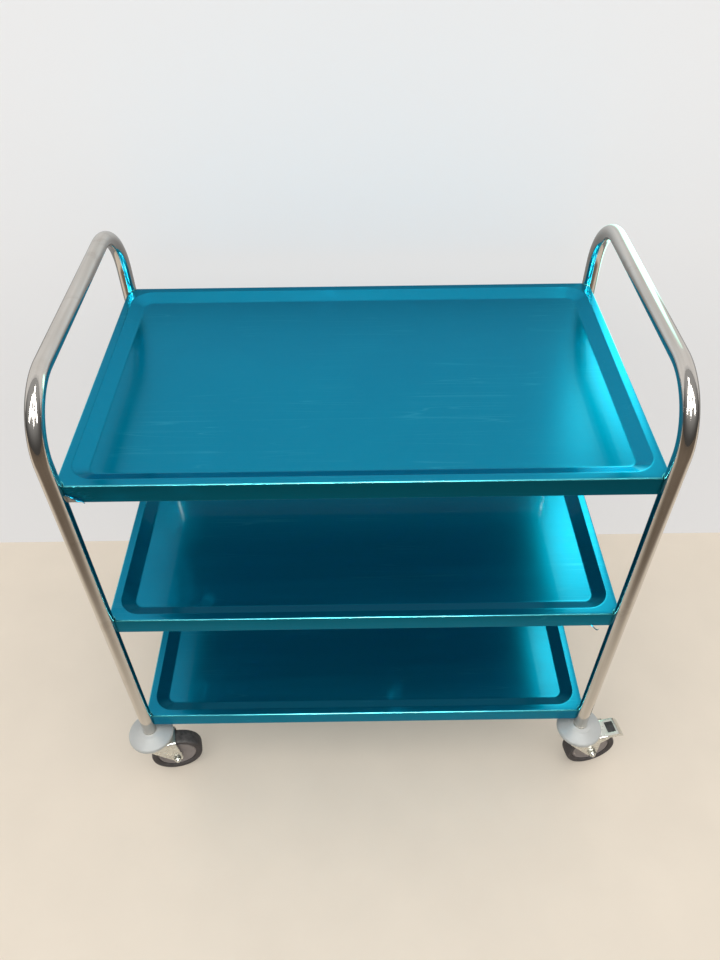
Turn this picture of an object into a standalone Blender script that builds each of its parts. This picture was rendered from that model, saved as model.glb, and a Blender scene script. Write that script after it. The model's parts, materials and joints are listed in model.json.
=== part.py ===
"""Three-tier stainless-steel serving trolley on four swivel castors.

Units are metres and +Z is up. The origin is on the floor, under the middle of
the trolley. X runs along the trays, with an end frame at each end. Y runs from
the front (-Y) to the rear (+Y).
"""
import math

import bmesh
import bpy
from mathutils import Matrix, Vector

# Overall sizes.
OVERALL_WIDTH = 0.860           # over the two end frames
OVERALL_DEPTH = 0.535           # over the front and rear legs
OVERALL_HEIGHT = 0.955          # floor to the top of the handles
CLEARANCE = 0.0003              # gap between pieces that touch

# End frames: one bent tube each, two legs and the handle between them.
TUBE_DIAMETER = 0.025
TUBE_WALL = 0.0012
BEND_RADIUS = 0.095             # at the centre line of the tube
TUBE_SIDES = 12
BEND_STEPS = 8

# Trays: pressed sheet with a dished floor, a folded skirt and a return hem.
TRAY_ABOVE_BUMPER = 0.0459       # top of the bottom tray above the top of the bumper
TRAY_SPACING = 0.308
TRAY_SHEET = 0.001
TRAY_OVERLAP = 0.001            # tube centre line outside the edge of the tray
SKIRT_HEIGHT = 0.0315
HEM_WIDTH = 0.010
FOLD_RADIUS = 0.002
RIM_WIDTH = 0.0135              # flat border round the dish
DISH_WALL = 0.0205              # width of the sloping wall of the dish
DISH_DEPTH = 0.010
DISH_CORNER = 0.035             # corner radius at the top of the dish
CORNER_STEPS = 5
TRAY_NAMES = ("bottom", "middle", "top")

# Tray bolts: through the corner of the skirt and one wall of the leg.
BOLT_DIAMETER = 0.006
BOLT_HEAD_DIAMETER = 0.010
BOLT_HEAD_HEIGHT = 0.0035
BOLT_DROP = 0.016               # below the top of the tray
BOLT_REACH = 0.006              # end of the bolt to the centre line of the leg

# Castors. Each height is measured from the floor.
WHEEL_DIAMETER = 0.100
TYRE_WIDTH = 0.030
TYRE_DEPTH = 0.012              # radial thickness of the tyre
WHEEL_SIDES = 24                # tyre and hub alike, so that their flats line up
TREAD_GAP = 0.004               # top of the wheel to the plate of the fork
TRAIL = 0.036                   # swivel axis to axle
AXLE_DIAMETER = 0.008
HUB_PLAY = 0.0025               # hub to each cheek of the fork
FORK_SHEET = 0.0025
FORK_FRONT = 0.018              # fork plate ahead of the swivel axis
FORK_REAR = 0.005               # fork plate behind the axle
FORK_TIP_RADIUS = 0.011
SWIVEL_HEAD_HEIGHT = 0.012
SWIVEL_HEAD_DIAMETER = 0.044
KINGPIN_DIAMETER = 0.010
KINGPIN_HEAD_DIAMETER = 0.016
KINGPIN_HEAD_HEIGHT = 0.003
SOCKET_BELOW_BOLT = 0.003       # top of the stem socket under the lowest tray bolt
AXLE_NUT_ACROSS = 0.0130        # hexagon across flats
AXLE_NUT_HEIGHT = 0.0065

# Bumper: a soft conical ring between the leg and the castor.
BUMPER_DIAMETER = 0.085
BUMPER_HEIGHT = 0.028
BUMPER_FALL = 0.0115            # slope from the collar down to the rim
BUMPER_RIM = 0.006
BUMPER_SHELL = 0.0025
COLLAR_WALL = 0.0025
SOCKET_SEAT = 0.002             # how deep the leg stands in the collar

# Brake: a pedal on a cross pin between two ears of the fork.
PEDAL_SHEET = 0.0016
PEDAL_SIDE_GAP = 0.0004         # pedal to each cheek of the fork
PEDAL_START = 0.008             # inner end, behind the axle
PEDAL_PIVOT = 0.021             # cross pin, behind the axle
PEDAL_END = 0.048               # outer end of the flat, behind the axle
PEDAL_LIP = 0.011               # lip at the outer end, this far out and down
PEDAL_SKIRT = 0.010
PEDAL_RISE = 0.004              # top of the pedal above the top of the wheel
BRAKE_PIN_DIAMETER = 0.004
BRAKE_PIN_DROP = 0.004          # cross pin below the top of the pedal
BRAKE_EAR = 0.006               # ear of the fork round the cross pin
SHOE_LENGTH = 0.012
SHOE_WIDTH = 0.024
SHOE_GAP = 0.005                # shoe to tyre with the brake off

# Where each castor stands, which way its wheel trails, and its brake.
CASTORS = {
    "front_left": (-1, -1, 12.5, False),
    "front_right": (1, -1, 11.0, True),
    "rear_right": (1, 1, 192.5, False),
    "rear_left": (-1, 1, 191.0, True),
}

# Values that follow from the sizes above.
TUBE_RADIUS = TUBE_DIAMETER / 2
LEG_X = OVERALL_WIDTH / 2 - TUBE_RADIUS
LEG_Y = OVERALL_DEPTH / 2 - TUBE_RADIUS
HALF_TRAY_X = LEG_X - TRAY_OVERLAP
HALF_TRAY_Y = LEG_Y - TRAY_OVERLAP
WHEEL_RADIUS = WHEEL_DIAMETER / 2
HUB_RADIUS = WHEEL_RADIUS - TYRE_DEPTH - CLEARANCE
PLATE_BOTTOM = WHEEL_DIAMETER + TREAD_GAP
PLATE_TOP = PLATE_BOTTOM + FORK_SHEET
HEAD_BOTTOM = PLATE_TOP + CLEARANCE
HEAD_TOP = HEAD_BOTTOM + SWIVEL_HEAD_HEIGHT
BUMPER_BOTTOM = HEAD_TOP + CLEARANCE
BUMPER_TOP = BUMPER_BOTTOM + BUMPER_HEIGHT
BOTTOM_TRAY_TOP = BUMPER_TOP + TRAY_ABOVE_BUMPER
SEAT_HEIGHT = BUMPER_TOP - SOCKET_SEAT
LEG_BOTTOM = SEAT_HEIGHT + CLEARANCE
TUBE_BORE = TUBE_RADIUS - TUBE_WALL
KINGPIN_BORE = KINGPIN_DIAMETER / 2 + CLEARANCE
CHEEK_INSIDE = TYRE_WIDTH / 2 + HUB_PLAY + CLEARANCE * 2
CHEEK_OUTSIDE = CHEEK_INSIDE + FORK_SHEET
AXLE_BORE = AXLE_DIAMETER / 2 + CLEARANCE
SOCKET_TOP = BOTTOM_TRAY_TOP - BOLT_DROP - BOLT_DIAMETER / 2 - SOCKET_BELOW_BOLT
TRAY_TOPS = [BOTTOM_TRAY_TOP + TRAY_SPACING * i for i in range(len(TRAY_NAMES))]


def clear_scene():
    for obj in list(bpy.data.objects):
        bpy.data.objects.remove(obj, do_unlink=True)


def make_material(name, colour, roughness, metallic):
    material = bpy.data.materials.new(name)
    material.use_nodes = True
    shader = material.node_tree.nodes["Principled BSDF"]
    shader.inputs["Base Color"].default_value = (*colour, 1.0)
    shader.inputs["Roughness"].default_value = roughness
    shader.inputs["Metallic"].default_value = metallic
    return material


def finish_mesh(bm, name, sharp_angle=35):
    """Close a bmesh into a mesh with outward faces and sharp corners kept."""
    bmesh.ops.remove_doubles(bm, verts=bm.verts, dist=1e-6)
    bmesh.ops.recalc_face_normals(bm, faces=bm.faces)
    mesh = bpy.data.meshes.new(name)
    bm.to_mesh(mesh)
    bm.free()
    mesh.shade_smooth()
    mesh.set_sharp_from_angle(angle=math.radians(sharp_angle))
    return mesh


def add_object(name, mesh, material, location=(0, 0, 0), parent=None):
    obj = bpy.data.objects.new(name, mesh)
    bpy.context.scene.collection.objects.link(obj)
    if material:
        mesh.materials.clear()
        mesh.materials.append(material)
    obj.location = location
    obj.parent = parent
    return obj


def add_empty(name, location, turn=0.0, parent=None):
    empty = bpy.data.objects.new(name, None)
    bpy.context.scene.collection.objects.link(empty)
    empty.location = location
    empty.rotation_euler = (0, 0, turn)
    empty.parent = parent
    return empty


def cut(obj, cutter):
    """Cut a hidden guide object out of obj."""
    cutter.display_type = "WIRE"
    cutter.hide_render = True
    modifier = obj.modifiers.new("cut", "BOOLEAN")
    modifier.operation = "DIFFERENCE"
    modifier.solver = "EXACT"
    modifier.object = cutter


def turned(name, profile, sides, axis="Z"):
    """Spin a closed outline of (radius, height) points about an axis."""
    bm = bmesh.new()
    points = [bm.verts.new((radius, 0, height)) for radius, height in profile]
    edges = [bm.edges.new((a, b)) for a, b in zip(points, points[1:] + points[:1])
             if a.co.x > 0 or b.co.x > 0]
    bmesh.ops.spin(bm, geom=points + edges, cent=(0, 0, 0), axis=(0, 0, 1),
                   angle=math.tau, steps=sides, use_merge=True)
    if axis == "Y":
        # The first point of each ring ends up lowest, so a wheel stands on it.
        bmesh.ops.rotate(bm, verts=bm.verts, matrix=Matrix.Rotation(math.pi / 2, 3, "Y"))
        bmesh.ops.rotate(bm, verts=bm.verts, matrix=Matrix.Rotation(math.pi / 2, 3, "Z"))
    return finish_mesh(bm, name)


def add_plate(bm, outline, low, high):
    """Extrude a closed (x, z) outline between two y values."""
    face = bm.faces.new([bm.verts.new((x, low, z)) for x, z in outline])
    pushed = bmesh.ops.extrude_face_region(bm, geom=[face])["geom"]
    moved = [item for item in pushed if isinstance(item, bmesh.types.BMVert)]
    bmesh.ops.translate(bm, verts=moved, vec=(0, high - low, 0))


def plate(name, outline, low, high):
    bm = bmesh.new()
    add_plate(bm, outline, low, high)
    return finish_mesh(bm, name, 25)


def add_rod(bm, radius, start, end, sides):
    """A round rod between two points; 6 sides make a hexagon."""
    start, end = Vector(start), Vector(end)
    turn = (end - start).to_track_quat("Z", "Y").to_matrix().to_4x4()
    place = Matrix.Translation((start + end) / 2) @ turn
    bmesh.ops.create_cone(bm, cap_ends=True, segments=sides, radius1=radius, radius2=radius,
                          depth=(end - start).length, matrix=place)


def rods(name, pieces, sides):
    """Separate rods in one mesh, used as a cutter for holes."""
    bm = bmesh.new()
    for radius, start, end in pieces:
        add_rod(bm, radius, start, end, sides)
    return finish_mesh(bm, name)


def arc(centre, radius, start, end, steps):
    """Points along an arc, angles in radians, both ends included."""
    turns = [start + (end - start) * i / steps for i in range(steps + 1)]
    return [(centre[0] + radius * math.cos(t), centre[1] + radius * math.sin(t)) for t in turns]


# End frames

def frame_path():
    """Centre line of an end frame as (y, z) points, each with its tangent angle."""
    top = OVERALL_HEIGHT - TUBE_RADIUS
    bend_y = LEG_Y - BEND_RADIUS
    bend_z = top - BEND_RADIUS
    path = [(-LEG_Y, LEG_BOTTOM, math.pi / 2)]
    for centre_y, first in ((-bend_y, math.pi), (bend_y, math.pi / 2)):
        for i in range(BEND_STEPS + 1):
            turn = first - math.pi / 2 * i / BEND_STEPS
            path.append((centre_y + BEND_RADIUS * math.cos(turn),
                         bend_z + BEND_RADIUS * math.sin(turn), turn - math.pi / 2))
    path.append((LEG_Y, LEG_BOTTOM, -math.pi / 2))
    return path


def frame_mesh(name):
    """Sweep the tube along its centre line, outside and bore together."""
    bm = bmesh.new()
    rings = []
    for y, z, heading in frame_path():
        side = Vector((0, -math.sin(heading), math.cos(heading)))
        for radius, kind in ((TUBE_RADIUS, "outer"), (TUBE_BORE, "bore")):
            ring = []
            for i in range(TUBE_SIDES):
                turn = math.tau * i / TUBE_SIDES
                offset = Vector((math.cos(turn), 0, 0)) + side * math.sin(turn)
                ring.append(bm.verts.new(Vector((0, y, z)) + offset * radius))
            rings.append((kind, ring))
    outer = [ring for kind, ring in rings if kind == "outer"]
    bore = [ring for kind, ring in rings if kind == "bore"]
    skins = list(zip(outer, outer[1:])) + list(zip(bore, bore[1:]))
    for first, second in skins + [(outer[0], bore[0]), (outer[-1], bore[-1])]:
        for i in range(TUBE_SIDES):
            j = (i + 1) % TUBE_SIDES
            bm.faces.new((first[i], first[j], second[j], second[i]))
    return finish_mesh(bm, name)


def bolt_line(side_x, side_y, height, near, far):
    """Two points on a tray bolt's axis, measured from the centre of the leg."""
    inward = Vector((-side_x, -side_y, 0)).normalized()
    centre = Vector((side_x * LEG_X, side_y * LEG_Y, height))
    return centre + inward * near, centre + inward * far


def bolt_holes(name, side_x=None, tray_top=None):
    """Cutter for the bolt holes of one end frame or of one tray."""
    hole = BOLT_DIAMETER / 2 + CLEARANCE
    sheet_inside = TUBE_RADIUS + CLEARANCE + TRAY_SHEET
    far = sheet_inside + BOLT_HEAD_HEIGHT
    pieces = []
    for x in ((-1, 1) if side_x is None else (side_x,)):
        for y in (-1, 1):
            for top in (TRAY_TOPS if tray_top is None else (tray_top,)):
                pieces.append((hole, *bolt_line(x, y, top - BOLT_DROP, BOLT_REACH, far)))
    return add_object(name, rods(name, pieces, 8), None)


def add_end_frames(steel):
    for name, side in (("left", -1), ("right", 1)):
        mesh = frame_mesh(f"end_frame_{name}")
        frame = add_object(f"end_frame_{name}", mesh, steel, (side * LEG_X, 0, 0))
        cut(frame, bolt_holes(f"guide_frame_holes_{name}", side_x=side))


# Trays

def notched_ring(inset):
    """Outline of the tray with a hollow corner round each leg."""
    notch = TUBE_RADIUS + CLEARANCE + inset
    edge_x, edge_y = HALF_TRAY_X - inset, HALF_TRAY_Y - inset
    first = math.atan2(-math.sqrt(notch ** 2 - (LEG_X - edge_x) ** 2), edge_x - LEG_X)
    last = math.atan2(edge_y - LEG_Y, -math.sqrt(notch ** 2 - (LEG_Y - edge_y) ** 2))
    corner = arc((LEG_X, LEG_Y), notch, first, last, CORNER_STEPS)
    return mirror_corner(corner)


def rounded_ring(inset, radius):
    """Outline of the dish: a rectangle with round corners."""
    centre = (HALF_TRAY_X - inset - radius, HALF_TRAY_Y - inset - radius)
    return mirror_corner(arc(centre, radius, 0, math.pi / 2, CORNER_STEPS))


def mirror_corner(corner):
    """Repeat the corner at +X +Y round the other three, in one turning order."""
    back = corner[::-1]
    return (corner + [(-x, y) for x, y in back]
            + [(-x, -y) for x, y in corner] + [(x, -y) for x, y in back])


def tray_rings():
    """Outlines of the sheet with their heights, from the hem over the top and back."""
    bottom = -SKIRT_HEIGHT
    hem = TRAY_SHEET + HEM_WIDTH
    dish = [(0.0, 0.0), (0.22, 0.22), (0.66, 0.78), (1.0, 1.0)]   # across, down
    outside = [
        (notched_ring(hem), bottom),
        (notched_ring(TRAY_SHEET), bottom),
        (notched_ring(0), bottom + TRAY_SHEET),
        (notched_ring(0), -FOLD_RADIUS),
        (notched_ring(FOLD_RADIUS * 0.3), -FOLD_RADIUS * 0.3),
        (notched_ring(FOLD_RADIUS), 0),
    ]
    floor = []
    for across, down in dish:
        inset = RIM_WIDTH + DISH_WALL * across
        radius = DISH_CORNER - DISH_WALL * across * 0.9
        floor.append((rounded_ring(inset, radius), -DISH_DEPTH * down))
    underside = [(ring, height - TRAY_SHEET) for ring, height in reversed(floor)]
    inside = [
        (notched_ring(FOLD_RADIUS + TRAY_SHEET / 2), -TRAY_SHEET),
        (notched_ring(TRAY_SHEET), -FOLD_RADIUS - TRAY_SHEET / 2),
        (notched_ring(TRAY_SHEET), bottom + TRAY_SHEET),
        (notched_ring(hem), bottom + TRAY_SHEET),
    ]
    return outside + floor, underside + inside


def tray_mesh(name):
    bm = bmesh.new()
    upper, lower = tray_rings()
    loops = [[bm.verts.new((x, y, height)) for x, y in ring] for ring, height in upper + lower]
    floor_top, floor_bottom = loops[len(upper) - 1], loops[len(upper)]
    bm.faces.new(floor_top)
    bm.faces.new(floor_bottom[::-1])
    for first, second in zip(loops, loops[1:] + loops[:1]):
        if first is floor_top:
            continue
        for i in range(len(first)):
            j = (i + 1) % len(first)
            bm.faces.new((first[i], first[j], second[j], second[i]))
    return finish_mesh(bm, name, 25)


def add_trays(film):
    for name, top in zip(TRAY_NAMES, TRAY_TOPS):
        tray = add_object(f"tray_{name}", tray_mesh(f"tray_{name}"), film, (0, 0, top))
        cut(tray, bolt_holes(f"guide_tray_holes_{name}", tray_top=top))


def add_tray_bolts(zinc):
    seat = TUBE_RADIUS + CLEARANCE + TRAY_SHEET + CLEARANCE
    shank, head = BOLT_DIAMETER / 2, BOLT_HEAD_DIAMETER / 2
    length = seat - BOLT_REACH
    profile = [(0, 0), (shank, 0), (shank, length), (head, length),
               (head, length + BOLT_HEAD_HEIGHT * 0.6),
               (head * 0.75, length + BOLT_HEAD_HEIGHT), (0, length + BOLT_HEAD_HEIGHT)]
    for tray, top in zip(TRAY_NAMES, TRAY_TOPS):
        for place, (x, y, _, _) in CASTORS.items():
            name = f"tray_bolt_{tray}_{place}"
            start, end = bolt_line(x, y, top - BOLT_DROP, BOLT_REACH, seat)
            bolt = add_object(name, turned(name, profile, 10), zinc, start)
            bolt.rotation_mode = "QUATERNION"
            bolt.rotation_quaternion = (end - start).to_track_quat("Z", "Y")


# Castors. Each piece is placed in its castor's own frame: the swivel axis is Z,
# the wheel trails towards +X, and the floor is at Z = 0.

def tyre_profile():
    inner, half = WHEEL_RADIUS - TYRE_DEPTH, TYRE_WIDTH / 2
    side = [(WHEEL_RADIUS, half * 0.3), (WHEEL_RADIUS * 0.988, half * 0.72),
            (WHEEL_RADIUS * 0.94, half), (inner, half * 0.88)]
    return [(r, -h) for r, h in side[::-1]] + side


def hub_profile():
    half, boss = TYRE_WIDTH / 2 + CLEARANCE, AXLE_DIAMETER
    face = TYRE_WIDTH / 2 * 0.78
    side = [(AXLE_BORE, half), (boss, half), (boss * 1.15, face),
            (HUB_RADIUS * 0.9, face), (HUB_RADIUS, face + TYRE_WIDTH * 0.03)]
    return [(r, -h) for r, h in side] + side[::-1]


def bumper_profile():
    rim = BUMPER_DIAMETER / 2
    seat = TUBE_RADIUS + CLEARANCE
    collar = seat + COLLAR_WALL
    boss = SWIVEL_HEAD_DIAMETER / 4
    shoulder = BUMPER_TOP - BUMPER_FALL
    return [
        (KINGPIN_BORE, BUMPER_BOTTOM), (KINGPIN_BORE, SEAT_HEIGHT), (seat, SEAT_HEIGHT),
        (seat, BUMPER_TOP), (collar, BUMPER_TOP), (rim * 0.95, shoulder + BUMPER_SHELL * 0.4),
        (rim, shoulder - BUMPER_SHELL * 0.5), (rim, shoulder - BUMPER_RIM),
        (rim - BUMPER_SHELL, shoulder - BUMPER_RIM),
        (rim - BUMPER_SHELL, shoulder - BUMPER_SHELL * 1.3),
        (boss, SEAT_HEIGHT - BUMPER_SHELL), (boss, BUMPER_BOTTOM),
    ]


def swivel_head_profile():
    radius = SWIVEL_HEAD_DIAMETER / 2
    return [(KINGPIN_BORE, HEAD_BOTTOM), (KINGPIN_BORE, HEAD_TOP), (radius * 0.6, HEAD_TOP),
            (radius, HEAD_BOTTOM + SWIVEL_HEAD_HEIGHT * 0.6), (radius, HEAD_BOTTOM)]


def kingpin_profile():
    shank, head = KINGPIN_DIAMETER / 2, KINGPIN_HEAD_DIAMETER / 2
    head_top = PLATE_BOTTOM - CLEARANCE
    return [(0, head_top - KINGPIN_HEAD_HEIGHT), (head, head_top - KINGPIN_HEAD_HEIGHT),
            (head, head_top), (shank, head_top), (shank, SOCKET_TOP), (0, SOCKET_TOP)]


def socket_profile():
    radius = TUBE_BORE * math.cos(math.pi / TUBE_SIDES) - CLEARANCE
    return [(KINGPIN_BORE, LEG_BOTTOM), (KINGPIN_BORE, SOCKET_TOP),
            (radius, SOCKET_TOP), (radius, LEG_BOTTOM)]


def pedal_top():
    return WHEEL_DIAMETER + PEDAL_RISE


def brake_pin_place():
    return TRAIL + PEDAL_PIVOT, pedal_top() - BRAKE_PIN_DROP


def fork_outline(braked):
    """Side view of the fork: a plate over the wheel, tapering to the axle."""
    start, end = -FORK_FRONT, TRAIL + FORK_REAR
    slope = math.atan2(TRAIL - start, PLATE_TOP - WHEEL_RADIUS)
    tip = arc((TRAIL, WHEEL_RADIUS), FORK_TIP_RADIUS, math.pi + slope * 0.9, math.tau, 6)
    outline = [(start, PLATE_TOP), (start, PLATE_BOTTOM - FORK_SHEET)] + tip
    if braked:
        pin_x, pin_z = brake_pin_place()
        outline += [(TRAIL + FORK_TIP_RADIUS, pin_z - BRAKE_EAR * 2.5)]
        outline += arc((pin_x, pin_z), BRAKE_EAR, -math.pi / 4, math.pi / 4, 3)
        end = max(end, pin_x)
    return outline + [(end, PLATE_TOP)]


def add_fork(name, braked, zinc, parent):
    mesh = plate(name, fork_outline(braked), -CHEEK_OUTSIDE, CHEEK_OUTSIDE)
    fork = add_object(name, mesh, zinc, (0, 0, 0), parent)
    plate_end = TRAIL + FORK_REAR
    reach = 2 * WHEEL_DIAMETER
    slot = [(-reach, -reach), (-reach, PLATE_BOTTOM), (plate_end, PLATE_BOTTOM),
            (plate_end, reach), (reach, reach), (reach, -reach)]
    slot_mesh = plate(f"guide_slot_{name}", slot, -CHEEK_INSIDE, CHEEK_INSIDE)
    cut(fork, add_object(f"guide_slot_{name}", slot_mesh, None, (0, 0, 0), parent))
    across = CHEEK_OUTSIDE + FORK_SHEET
    holes = [
        (AXLE_BORE, (TRAIL, -across, WHEEL_RADIUS), (TRAIL, across, WHEEL_RADIUS)),
        (KINGPIN_BORE, (0, 0, PLATE_BOTTOM - FORK_SHEET), (0, 0, PLATE_TOP + FORK_SHEET)),
    ]
    if braked:
        pin_x, pin_z = brake_pin_place()
        hole = BRAKE_PIN_DIAMETER / 2 + CLEARANCE
        holes.append((hole, (pin_x, -across, pin_z), (pin_x, across, pin_z)))
    hole_mesh = rods(f"guide_holes_{name}", holes, 12)
    cut(fork, add_object(f"guide_holes_{name}", hole_mesh, None, (0, 0, 0), parent))


def add_axle(prefix, zinc, parent):
    """Bolt with its head at +Y and its nut at -Y, both clear of the fork."""
    seat = CHEEK_OUTSIDE + CLEARANCE
    hexagon = AXLE_NUT_ACROSS / math.sqrt(3)
    end = seat + AXLE_NUT_HEIGHT + AXLE_DIAMETER / 4
    bm = bmesh.new()
    shank = arc((0, 0), AXLE_DIAMETER / 2, 0, math.tau, 12)[:-1]
    head = arc((0, 0), hexagon, 0, math.tau, 6)[:-1]
    low = [bm.verts.new((x, -end, z)) for x, z in shank]
    high = [bm.verts.new((x, seat, z)) for x, z in shank]
    bm.faces.new(low)
    for i in range(len(shank)):
        bm.faces.new((low[i], low[i - 1], high[i - 1], high[i]))
    under = [bm.verts.new((x, seat, z)) for x, z in head]
    crown = [bm.verts.new((x, seat + AXLE_NUT_HEIGHT, z)) for x, z in head]
    bm.faces.new(crown)
    for i in range(len(head)):
        bm.faces.new((under[i], under[i - 1], crown[i - 1], crown[i]))
        a, b = 2 * i, (2 * i + 2) % len(shank)
        bm.faces.new((high[a], high[2 * i + 1], high[b], under[(i + 1) % 6], under[i]))
    name = f"{prefix}_axle_bolt"
    add_object(name, finish_mesh(bm, name), zinc, (0, 0, 0), parent)

    name = f"{prefix}_axle_nut"
    bm = bmesh.new()
    add_rod(bm, hexagon, (0, -seat - AXLE_NUT_HEIGHT, 0), (0, -seat, 0), 6)
    nut = add_object(name, finish_mesh(bm, name), zinc, (0, 0, 0), parent)
    bore = [(AXLE_BORE, (0, -end - AXLE_DIAMETER, 0), (0, 0, 0))]
    guide = add_object(f"guide_{name}", rods(f"guide_{name}", bore, 12), None, (0, 0, 0), parent)
    cut(nut, guide)


def add_brake(prefix, zinc, rubber, parent):
    """Pedal, brake shoe and cross pin, with the pedal's origin on the pin."""
    pin_x, pin_z = brake_pin_place()
    half = CHEEK_INSIDE - PEDAL_SIDE_GAP
    pivot = add_empty(f"{prefix}_pedal_pivot", (pin_x, 0, pin_z), parent=parent)
    top = pedal_top() - pin_z
    start, flat_end = PEDAL_START - PEDAL_PIVOT, PEDAL_END - PEDAL_PIVOT
    lip_end, lip_low = flat_end + PEDAL_LIP, top - PEDAL_LIP
    under = top - PEDAL_SHEET
    outline = [(start, top), (start, top - PEDAL_SKIRT * 0.7), (0, top - PEDAL_SKIRT),
               (flat_end, top - PEDAL_SKIRT), (lip_end, lip_low - PEDAL_SHEET),
               (lip_end, lip_low), (flat_end, top)]
    name = f"{prefix}_brake_pedal"
    pedal = add_object(name, plate(name, outline, -half, half), zinc, (0, 0, 0), pivot)
    inner = half - PEDAL_SHEET
    reach = PEDAL_END
    hollow = [(-reach, under), (-reach, -reach), (lip_end + PEDAL_SHEET * 2, -reach),
              (lip_end + PEDAL_SHEET * 2, lip_low - PEDAL_SHEET * 3), (flat_end, under)]
    guide = f"guide_hollow_{prefix}"
    cut(pedal, add_object(guide, plate(guide, hollow, -inner, inner), None, (0, 0, 0), pivot))
    hole = [(BRAKE_PIN_DIAMETER / 2 + CLEARANCE, (0, -half * 2, 0), (0, half * 2, 0))]
    guide = f"guide_pin_{prefix}"
    cut(pedal, add_object(guide, rods(guide, hole, 10), None, (0, 0, 0), pivot))

    name = f"{prefix}_brake_shoe"
    shoe_start = BRAKE_PIN_DIAMETER / 2 + PEDAL_SIDE_GAP * 4
    shoe = [(shoe_start, under - CLEARANCE)]
    for x in (shoe_start, shoe_start + SHOE_LENGTH):
        beside = pin_x + x - TRAIL
        height = math.sqrt((WHEEL_RADIUS + SHOE_GAP) ** 2 - beside ** 2)
        shoe.append((x, WHEEL_RADIUS + height - pin_z))
    shoe.append((shoe_start + SHOE_LENGTH, under - CLEARANCE))
    mesh = plate(name, shoe, -SHOE_WIDTH / 2, SHOE_WIDTH / 2)
    add_object(name, mesh, rubber, (0, 0, 0), pivot)

    name = f"{prefix}_brake_pin"
    pin = [(BRAKE_PIN_DIAMETER / 2, (0, -CHEEK_OUTSIDE, 0), (0, CHEEK_OUTSIDE, 0))]
    add_object(name, rods(name, pin, 10), zinc, (pin_x, 0, pin_z), parent)


def add_castors(materials):
    zinc, grey, rubber = materials["zinc"], materials["grey_plastic"], materials["tyre_rubber"]
    turned_pieces = [
        ("stem_socket", socket_profile(), 12, materials["black_plastic"]),
        ("kingpin", kingpin_profile(), 12, zinc),
        ("swivel_head", swivel_head_profile(), 20, zinc),
        ("bumper", bumper_profile(), 24, grey),
    ]
    for place, (side_x, side_y, turn, braked) in CASTORS.items():
        prefix = f"castor_{place}"
        stand = (side_x * LEG_X, side_y * LEG_Y, 0)
        for piece, profile, sides, material in turned_pieces:
            name = f"{prefix}_{piece}"
            add_object(name, turned(name, profile, sides), material, stand)
        swivel = add_empty(f"{prefix}_swivel", stand, math.radians(turn))
        add_fork(f"{prefix}_fork", braked, zinc, swivel)
        axle = add_empty(f"{prefix}_axle", (TRAIL, 0, WHEEL_RADIUS), parent=swivel)
        add_axle(prefix, zinc, axle)
        name = f"{prefix}_hub"
        add_object(name, turned(name, hub_profile(), WHEEL_SIDES, "Y"), materials["hub_plastic"],
                   (0, 0, 0), axle)
        name = f"{prefix}_tyre"
        add_object(name, turned(name, tyre_profile(), WHEEL_SIDES, "Y"), rubber, (0, 0, 0), axle)
        if braked:
            add_brake(prefix, zinc, rubber, swivel)


def main():
    clear_scene()
    materials = {
        "steel": make_material("polished_stainless", (0.62, 0.60, 0.57), 0.14, 1.0),
        "film": make_material("film_on_steel", (0.0, 0.30, 0.40), 0.28, 0.7),
        "zinc": make_material("zinc_plate", (0.66, 0.66, 0.64), 0.32, 1.0),
        "grey_plastic": make_material("grey_plastic", (0.50, 0.52, 0.52), 0.45, 0.0),
        "hub_plastic": make_material("hub_plastic", (0.30, 0.28, 0.28), 0.5, 0.0),
        "tyre_rubber": make_material("tyre_rubber", (0.06, 0.05, 0.06), 0.6, 0.0),
        "black_plastic": make_material("black_plastic", (0.03, 0.03, 0.03), 0.5, 0.0),
    }
    add_end_frames(materials["steel"])
    add_trays(materials["film"])
    add_tray_bolts(materials["zinc"])
    add_castors(materials)


main()
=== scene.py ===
import json
import math

import bmesh
import bpy
from mathutils import Matrix, Vector


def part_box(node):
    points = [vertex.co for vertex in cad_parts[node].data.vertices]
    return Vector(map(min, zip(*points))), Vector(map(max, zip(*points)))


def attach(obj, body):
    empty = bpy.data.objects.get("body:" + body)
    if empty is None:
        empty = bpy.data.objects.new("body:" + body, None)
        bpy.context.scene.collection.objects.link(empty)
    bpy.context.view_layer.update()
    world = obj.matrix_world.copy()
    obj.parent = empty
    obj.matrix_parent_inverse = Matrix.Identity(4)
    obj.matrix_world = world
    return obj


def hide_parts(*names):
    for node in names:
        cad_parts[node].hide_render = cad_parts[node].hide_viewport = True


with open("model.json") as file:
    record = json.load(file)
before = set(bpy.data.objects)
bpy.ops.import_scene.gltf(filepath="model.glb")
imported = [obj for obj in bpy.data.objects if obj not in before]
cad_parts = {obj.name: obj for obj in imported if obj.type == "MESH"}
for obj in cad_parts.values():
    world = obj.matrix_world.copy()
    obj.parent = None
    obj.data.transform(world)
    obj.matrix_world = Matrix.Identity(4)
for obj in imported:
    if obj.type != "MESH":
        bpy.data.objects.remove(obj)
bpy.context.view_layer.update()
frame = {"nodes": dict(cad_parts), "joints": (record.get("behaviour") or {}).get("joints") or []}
print("CAD frame loaded:", len(frame["nodes"]), "nodes")

scene = bpy.context.scene
scene.view_settings.view_transform = "Standard"
joints = {joint["name"]: joint for joint in frame["joints"]}
places = ["front_left", "front_right", "rear_right", "rear_left"]
brakedPlaces = [place for place in places if "brake_" + place in joints]
trayNames = ["bottom", "middle", "top"]
zToMinusY = Matrix.Rotation(math.pi / 2, 4, "X")


# Shape tools

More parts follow.
